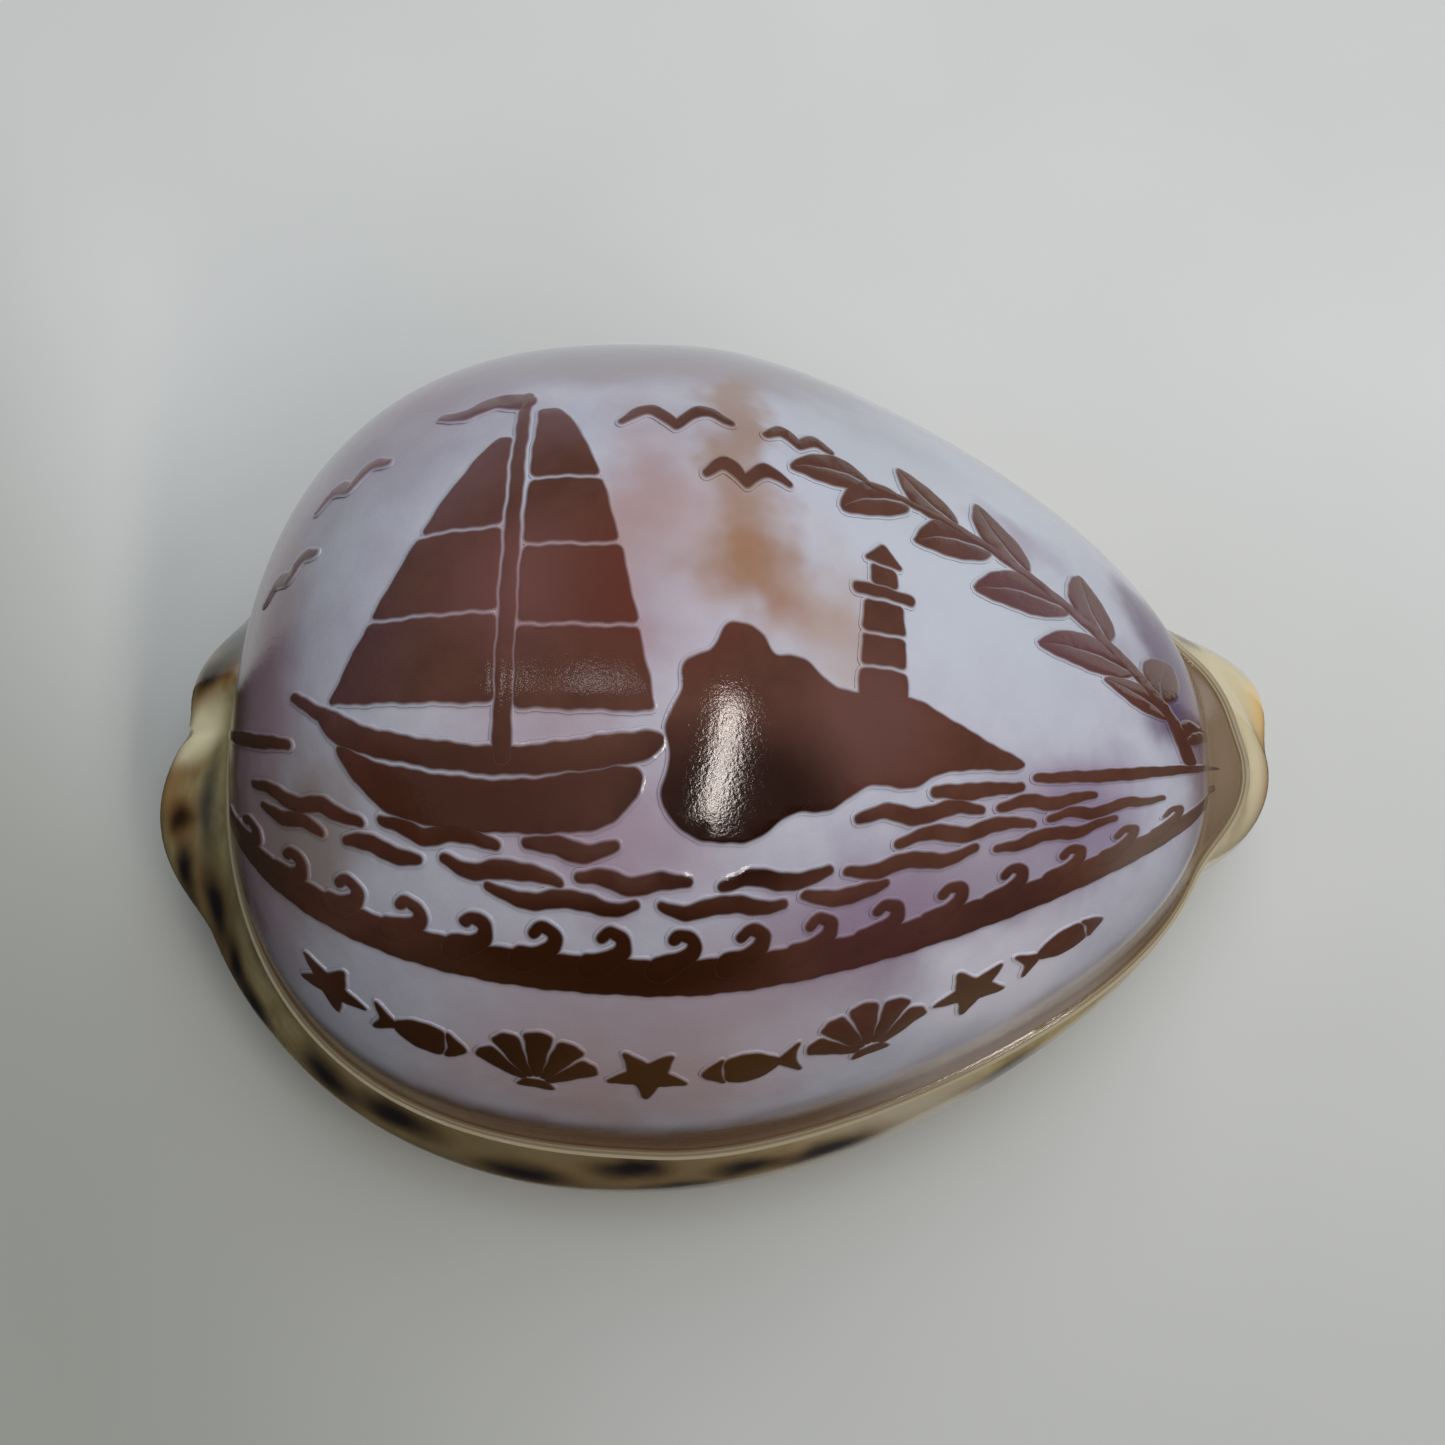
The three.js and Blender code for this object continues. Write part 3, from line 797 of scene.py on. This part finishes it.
add_panels(
    lambda b: TOWER_LEFT + TOWER_TAPER * (b - TOWER_FOOT),
    lambda b: TOWER_RIGHT - TOWER_TAPER * (b - TOWER_FOOT),
    TOWER_SEAMS,
)
add_stroke(GALLERY, GALLERY_WIDTHS)
add_outline(LANTERN)
add_outline(TOWER_ROOF)
for points, widths in HORIZON:
    add_stroke(points, widths)

# gulls: place and size, each with two wings
GULLS = ((-22.5, 7.0, 0.8), (-26.5, 2.6, 0.7), (-2.6, 7.6, 1.0), (1.6, 4.4, 0.75), (4.6, 8.0, 0.6))
WINGS = (
    (((-3.1, 0.2), (-1.6, 1.2), (0, 0)), (0.3, 0.75, 0.5)),
    (((0, 0), (1.5, 1.4), (3.2, 0.7)), (0.5, 0.75, 0.3)),
)
for a, b, size in GULLS:
    for points, widths in WINGS:
        add_stroke(placed(points, (a, b), 0, size), widths)

# leafy branch over the narrow end; leaves by place along it, side, length, width and lean
BRANCH = ((31.6, -7.6), (29.8, -2.2), (26.2, 1.8), (21.0, 4.8), (14.8, 6.6), (8.8, 7.0))
BRANCH_WIDTHS = (1.3, 1.1, 0.9, 0.6, 0.3)
LEAF_BEND, LEAF_STALK = 0.5, 0.5
LEAVES = (
    (0.08, 1, 5.4, 2.5, 50),
    (0.18, -1, 5.5, 2.6, 45),
    (0.27, 1, 6.6, 3.0, 50),
    (0.37, -1, 7.2, 3.2, 48),
    (0.46, 1, 6.2, 3.0, 42),
    (0.56, -1, 6.8, 3.1, 40),
    (0.65, 1, 5.6, 2.8, 36),
    (0.74, -1, 5.4, 2.7, 34),
    (0.82, 1, 4.6, 2.4, 30),
    (0.9, -1, 4.8, 2.3, 30),
    (0.99, -1, 5.0, 2.2, 12),
)
add_stroke(BRANCH, BRANCH_WIDTHS, 1)
branch_line = through(BRANCH)
for share, side_of, length, width, lean in LEAVES:
    root = min(int(share * (len(branch_line) - 1)), len(branch_line) - 2)
    way = branch_line[root + 1] - branch_line[root]
    way = placed((way / np.linalg.norm(way),), (0, 0), -side_of * math.radians(lean))[0]
    add_leaf(branch_line[root] + LEAF_STALK * way, way, length, width, LEAF_BEND * side_of)

# ripples in rows, each a wavy stroke cut by hand: the row's place, half length and bend
RIPPLES = ((-11.9, 30, 0.001), (-13.4, 30, 0.0016), (-14.9, 27, 0.002), (-16.2, 14, 0.003))
RIPPLE_HEIGHT, RIPPLE_PITCH = 0.24, 4.4
RIPPLE_STEP, FEWEST_POINTS = 1.1, 4
RIPPLE_WIDTHS = (0.4, 0.75, 0.85, 0.75, 0.4)
RIPPLE_LENGTHS, RIPPLE_GAPS = (4.5, 9), (0.9, 2.2)
ROW_SHIFT, ROW_PHASE, ROW_OVERRUN = 2, 2, 2
BOAT_FROM, BOAT_TO = -22, 8
ROCKS_FROM, ROCKS_TO = -1.6, 4.5
draw = np.random.default_rng(5)
for row, (b, limit, bend) in enumerate(RIPPLES):
    a = row % 2 * ROW_SHIFT - limit
    while a < limit:
        length = draw.uniform(*RIPPLE_LENGTHS)
        if a + length > limit + ROW_OVERRUN:
            break
        under_boat = row == 0 and a < BOAT_TO and a + length > BOAT_FROM
        in_rocks = row == 1 and a < ROCKS_TO and a + length > ROCKS_FROM
        if not under_boat and not in_rocks:
            along = np.linspace(a, a + length, max(FEWEST_POINTS, int(length / RIPPLE_STEP)))
            wave = np.sin(along * 2 * math.pi / RIPPLE_PITCH + row * ROW_PHASE)
            wave = b + RIPPLE_HEIGHT * wave + bend * along**2
            add_stroke(np.stack((along, wave), 1), RIPPLE_WIDTHS, steps=3, ends=3)
        a += length + draw.uniform(*RIPPLE_GAPS)


# shore band with a running wave along it
def sagging(a, low, bend, lean):
    return low + bend * a**2 + lean * a


SHORE = (-19.9, 0.0036, 0.02)
SHORE_FROM, SHORE_TO, SHORE_POINTS = -31.4, 35.2, 66
SHORE_TOP, SHORE_BOTTOM = 0.75, 1.45
CREST = ((0, 0.2), (1.0, 0.6), (1.8, 1.2), (1.9, 1.95), (1.2, 2.3), (0.75, 1.95))
CREST_WIDTHS = (1.6, 1.0, 0.7, 0.55, 0.5)
CREST_FROM, CREST_TO, CREST_PITCH = -29.8, 32, 3.9
along = np.linspace(SHORE_FROM, SHORE_TO, SHORE_POINTS)
top_edge = np.stack((along, sagging(along, *SHORE) + SHORE_TOP), 1)
bottom_edge = np.stack((along, sagging(along, *SHORE) - SHORE_BOTTOM), 1)
add_outline(np.vstack((top_edge, bottom_edge[::-1])))
for a in np.arange(CREST_FROM, CREST_TO, CREST_PITCH):
    crest = np.array(CREST) + (a, 0)
    crest[:, 1] += sagging(crest[:, 0], *SHORE)
    add_stroke(crest, CREST_WIDTHS, 1, steps=4, ends=3)

# row of sea creatures along the lower edge
STAR_ARMS, STAR_WAIST, STAR_TIP, STAR_TIP_SINK = 5, 0.42, 0.24, 0.06
FISH_HEAD = ((-3.1, 0), (-2.1, 0.95), (-1.7, 1.15), (-1.9, 0), (-1.7, -1.15), (-2.1, -0.95))
FISH_BODY = (
    (-1.35, 1.25), (0.3, 1.35), (1.6, 0.6), (2.0, 0.35), (3.3, 1.5), (2.9, 0),
    (3.3, -1.5), (2.0, -0.35), (1.6, -0.6), (0.3, -1.35), (-1.35, -1.25), (-1.55, 0),
)
HINGE, HINGE_PLATE = (0, -2.2), ((-1.25, -0.35), (1.25, -0.35), (0.75, 0.45), (-0.75, 0.45))
RIB_LENGTH, RIB_SHORTENING, RIB_START, RIB_TIP, RIB_FAN = 4.9, 0.16, 0.9, 0.32, 0.46
RIB_HALF, RIB_WIDENING = 0.06, 0.165
RIBS_EACH_SIDE, RIB_POINTS = 2, 4


def add_star(centre, radius, turn):
    turns = turn + np.arange(2 * STAR_ARMS) * math.pi / STAR_ARMS
    lengths = np.where(np.arange(2 * STAR_ARMS) % 2, STAR_WAIST, 1) * radius
    corner = np.array(centre) + (lengths * np.array((np.cos(turns), np.sin(turns)))).T
    outline = []
    for i in range(0, 2 * STAR_ARMS, 2):
        before, after = corner[i - 1] - corner[i], corner[i + 1] - corner[i]
        outline += [
            corner[i - 1],
            corner[i] + STAR_TIP * before,
            corner[i] + STAR_TIP_SINK * (before + after),
            corner[i] + STAR_TIP * after,
        ]
    add_outline(outline)


def add_fish(centre, turn, scale):
    add_outline(placed(through(FISH_HEAD, 3, True), centre, turn, scale))
    add_outline(placed(through(FISH_BODY, 3, True), centre, turn, scale))


def add_scallop(centre, turn, scale):
    hinge = placed((HINGE,), centre, turn, scale)[0]
    for rib in range(-RIBS_EACH_SIDE, RIBS_EACH_SIDE + 1):
        length = RIB_LENGTH - RIB_SHORTENING * rib**2
        climb = np.linspace(RIB_START, length, RIB_POINTS)
        half = RIB_HALF + RIB_WIDENING * climb
        left = np.stack((-half, climb), 1)
        right = np.stack((half, climb), 1)[::-1]
        outline = np.vstack((left, ((0, length + RIB_TIP),), right))
        add_outline(placed(outline, hinge, turn + rib * RIB_FAN, scale))
    add_outline(placed(HINGE_PLATE, hinge, turn, scale), 1)


CREATURE_ROW = (-28.0, 0.0062, 0.03)
CREATURES = ("star", "fish", "scallop") * 2 + ("star", "fish")
HALF_WIDTHS = {"star": 2.6, "fish": 3.1, "scallop": 3.6}
FIRST_CREATURE, CREATURE_GAP = -25.5, 0.45
TILT_FROM, TILT_TO = 2.5, 3.5
STAR_RADIUS, STAR_TURN, FISH_SCALE, SCALLOP_SCALE, SCALLOP_LIFT = 2.7, 0.3, 0.92, 0.95, 0.2
a = FIRST_CREATURE
for number, kind in enumerate(CREATURES):
    climb = sagging(a + TILT_TO, *CREATURE_ROW) - sagging(a + TILT_FROM, *CREATURE_ROW)
    tilt = math.atan2(climb, TILT_TO - TILT_FROM)
    a += HALF_WIDTHS[kind] * math.cos(tilt)
    b = sagging(a, *CREATURE_ROW)
    if kind == "star":
        add_star((a, b), STAR_RADIUS, tilt + STAR_TURN * number)
    elif kind == "fish":
        add_fish((a, b), tilt + math.pi * (number % 2), FISH_SCALE)
    else:
        add_scallop((a, b + SCALLOP_LIFT), tilt, SCALLOP_SCALE)
    a += (HALF_WIDTHS[kind] + CREATURE_GAP) * math.cos(tilt)

# flat faces with a skirt round each stroke, cut into a grid so that they can bend over the back
GRID, END_GRID, END_START, GRID_END = 0.9, 0.35, 24, 36
GRID_WELD = 0.001
design = bmesh.new()
stroke_mark = design.verts.layers.float.new("stroke")
step_mark = design.verts.layers.float.new("step")
for outline, layer in outlines:
    following, before = np.roll(outline, -1, axis=0), np.roll(outline, 1, axis=0)
    area = np.sum(outline[:, 0] * following[:, 1] - outline[:, 1] * following[:, 0])
    way = following - before
    way /= np.linalg.norm(way, axis=1)[:, None]
    outer = outline + SKIRT * math.copysign(1, area) * np.stack((way[:, 1], -way[:, 0]), 1)
    rim = [design.verts.new((a, b, layer)) for a, b in outline]
    skirt = [design.verts.new((a, b, layer)) for a, b in outer]
    for vert in rim:
        vert[stroke_mark] = 1
    design.faces.new(rim)
    for i in range(len(rim)):
        design.faces.new((rim[i - 1], rim[i], skirt[i], skirt[i - 1]))
end_cuts = np.arange(END_START, GRID_END, END_GRID)
cuts_along = np.concatenate((-end_cuts, np.arange(-END_START, END_START, GRID), end_cuts))
for axis, cuts in ((0, cuts_along), (1, np.arange(-GRID_END, GRID_END, GRID))):
    for cut in cuts:
        centre, normal = [0, 0, 0], [0, 0, 0]
        centre[axis], normal[axis] = cut, 1
        geometry = design.verts[:] + design.edges[:] + design.faces[:]
        bmesh.ops.bisect_plane(
            design, geom=geometry, dist=GRID_WELD, plane_co=centre, plane_no=normal
        )

# the strokes bent over the back, with a hand's wobble in their edges
ROUND_RADIUS = 28
WOBBLE, FINE_WOBBLE = 0.035, 0.6
# waves along and round: pitch, bend, the bend's pitch, the fine waves' pitch and lean
WOBBLE_A, WOBBLE_B = (1.9, 1.7, 0.9, 4.7, 1), (2.1, 1.9, 0.7, 5.3, -1)
PROBE = 0.01
CLEAR_OF_STEP = 0.1
DESIGN_ANGLE = math.radians(40)


def wobble(along, aside, waves):
    pitch, bend, bend_pitch, fine_pitch, fine_lean = waves
    coarse = np.sin(along * pitch + bend * np.sin(aside * bend_pitch))
    return WOBBLE * (coarse + FINE_WOBBLE * np.sin(along * fine_pitch + fine_lean * aside))


extruded = bmesh.ops.extrude_face_region(design, geom=design.faces[:])["geom"]
tops = {item for item in extruded if isinstance(item, bmesh.types.BMVert)}
design_verts = list(design.verts)
flat = np.array([vert.co[:] for vert in design_verts])
is_top = np.array([vert in tops for vert in design_verts])
share = smooth_step(np.array([vert[stroke_mark] for vert in design_verts]))
along = flat[:, 0] + wobble(flat[:, 1], flat[:, 0], WOBBLE_A)
turns = (flat[:, 1] + wobble(flat[:, 0], flat[:, 1], WOBBLE_B)) / ROUND_RADIUS
start = np.stack((along, np.full_like(along, HEART[1]), np.full_like(along, HEART[2])), 1)
direction = np.stack((np.zeros_like(turns), np.sin(turns), np.cos(turns)), 1)
on_skin = start + reach(shell_shape, start, direction)[:, None] * direction
slope = np.stack(
    [shell_shape(on_skin + probe) - shell_shape(on_skin - probe) for probe in PROBE * np.eye(3)], 1
)
slope /= np.linalg.norm(slope, axis=1)[:, None]
rise = share * (DESIGN_RISE + OVERLAP_RISE * flat[:, 2]) - (1 - share) * DESIGN_SINK
rise = np.where(is_top, rise, -DESIGN_FOOT)
distances = from_dip_line(on_skin, slope)
on_skin = (on_skin + slope * (rise - STEP_DEPTH)[:, None]) * MM
for vert, place, distance in zip(design_verts, on_skin, distances):
    vert.co = place
    vert[step_mark] = max(distance, STEP_PROFILE[-1][0] + CLEAR_OF_STEP)
bmesh.ops.recalc_face_normals(design, faces=design.faces)
for face in design.faces:
    face.smooth = True
for edge in design.edges:
    edge.smooth = edge.calc_face_angle(0) < DESIGN_ANGLE
data = bpy.data.meshes.new("raised_design")
design.to_mesh(data)
design.free()
raised_design = bpy.data.objects.new("raised_design", data)
scene.collection.objects.link(raised_design)
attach(raised_design, "root")
raised_design.data.materials.append(enamel)

# Floor: a plain pale sheet of paper, with a painted shadow in its colour that darkens it towards the
# near side, most towards the near left.
# It lies flat under the shell and reaches past the edges of the view.
FLOOR_HALF = 1.5
SHEET_GRAIN = ((0.35, "#bdc0bf"), (0.65, "#c2c5c5"))
# the grey of the painted shadow on the floor
PAINTED_SHADOW_GREY = "#858882"
# each painted shadow: the way it deepens, where it starts and is full in metres, strength
PAINTED_SHADOWS = (((0, -1, 0), -0.05, 0.06, 0.5), ((-0.86, -0.5, 0), 0.02, 0.062, 0.8))
floor_mesh = bmesh.new()
bmesh.ops.create_grid(floor_mesh, x_segments=1, y_segments=1, size=FLOOR_HALF)
data = bpy.data.meshes.new("floor")
floor_mesh.to_mesh(data)
floor_mesh.free()
floor = bpy.data.objects.new("floor", data)
scene.collection.objects.link(floor)

# Matt white sheet: an even pale grey with a faint mottle and no gloss, under a painted shadow that
# darkens it towards the near left.
sheet = bpy.data.materials.new("matt_white_sheet")
sheet.use_nodes = True
tree = sheet.node_tree
tree.nodes.clear()
texture = add_node(tree, "ShaderNodeTexCoord").outputs["Object"]
mottle = add_node(tree, "ShaderNodeTexNoise", {"Vector": texture, "Scale": 18, "Detail": 3})
tone = ramped(tree, mottle.outputs["Fac"], SHEET_GRAIN)
# painted shadow: the floor's colour darkens towards the near side and the near left
for way, begins, full, strength in PAINTED_SHADOWS:
    across_floor = vector(tree, "DOT_PRODUCT", texture, way)["Value"]
    tone = mixed(tree, faded(tree, across_floor, begins, full, strength), tone, linear(PAINTED_SHADOW_GREY))
matt = add_node(
    tree,
    "ShaderNodeBsdfPrincipled",
    {"Base Color": tone, "Roughness": 0.9, "Specular IOR Level": 0},
)
add_node(tree, "ShaderNodeOutputMaterial", {"Surface": matt.outputs[0]})
floor.data.materials.append(sheet)

# Flag: a black card curved round the near side, seen by the gloss alone, in place of the
# dark room and the person behind the camera.
CARD_HALF_TURN, CARD_LEAVES = math.radians(105), 16
# inner foot, outer foot and top of the card: half sizes across and along, height, in metres
CARD_ROWS = {-1: (0.044, 0.033, 0.0005), 0: (0.066, 0.066, 0.0005), 1: (0.066, 0.066, 0.06)}
card_mesh = bmesh.new()
bmesh.ops.create_grid(card_mesh, x_segments=CARD_LEAVES, y_segments=2, size=1)
for vert in card_mesh.verts:
    turn = vert.co.x * CARD_HALF_TURN - math.pi / 2
    across, along, height = CARD_ROWS[round(vert.co.y)]
    vert.co = (across * math.cos(turn), along * math.sin(turn), height)
data = bpy.data.meshes.new("flag")
card_mesh.to_mesh(data)
card_mesh.free()
flag = bpy.data.objects.new("flag", data)
scene.collection.objects.link(flag)

# Matt black card: an even near-black.
card = bpy.data.materials.new("matt_black_card")
card.use_nodes = True
card.node_tree.nodes["Principled BSDF"].inputs["Base Color"].default_value = linear("#141414")
flag.data.materials.append(card)
flag.visible_camera = flag.visible_diffuse = flag.visible_shadow = False

# Light: a soft ceiling in a dim room, one long window that the polished back mirrors as a
# bright streak, and two faint lamps beside it.
ROOM_GREY, ROOM_STRENGTH = "#dfe3e6", 0.16
# each light: name, place, the way its long side runs, size in metres, watts, colour
LIGHTS = (
    ("ceiling", (0.22, 0.28, 0.8), (0, 1, 0), (0.9, 0.9), 7.8, "#fbfcff"),
    ("window", (0.280, -0.290, 0.490), (0.1, 0.362, 0.171), (0.05, 0.42), 1.7, "#fff4ec"),
    ("lamp_left", (-0.277, -0.069, 0.579), (0, 1, 0), (0.06, 0.02), 0.04, "#ffffff"),
    ("lamp_middle", (-0.105, -0.081, 0.633), (0, 1, 0), (0.06, 0.02), 0.04, "#ffffff"),
)
UNSEEN_IN_GLOSS = "ceiling"
world = bpy.data.worlds.new("room")
scene.world = world
world.use_nodes = True
world.node_tree.nodes["Background"].inputs["Color"].default_value = linear(ROOM_GREY)
world.node_tree.nodes["Background"].inputs["Strength"].default_value = ROOM_STRENGTH
for name, place, long_way, size, watts, code in LIGHTS:
    lamp = bpy.data.lights.new(name, "AREA")
    lamp.shape = "RECTANGLE"
    lamp.size, lamp.size_y = size
    lamp.energy = watts
    lamp.color = linear(code)[:3]
    light = bpy.data.objects.new(name, lamp)
    scene.collection.objects.link(light)
    out = Vector(place).normalized()
    up = (Vector(long_way) - out * out.dot(Vector(long_way))).normalized()
    facing = Matrix((up.cross(out), up, out)).transposed()
    light.matrix_world = Matrix.Translation(place) @ facing.to_4x4()
    light.visible_glossy = name != UNSEEN_IN_GLOSS
scene.view_settings.view_transform = "Standard"
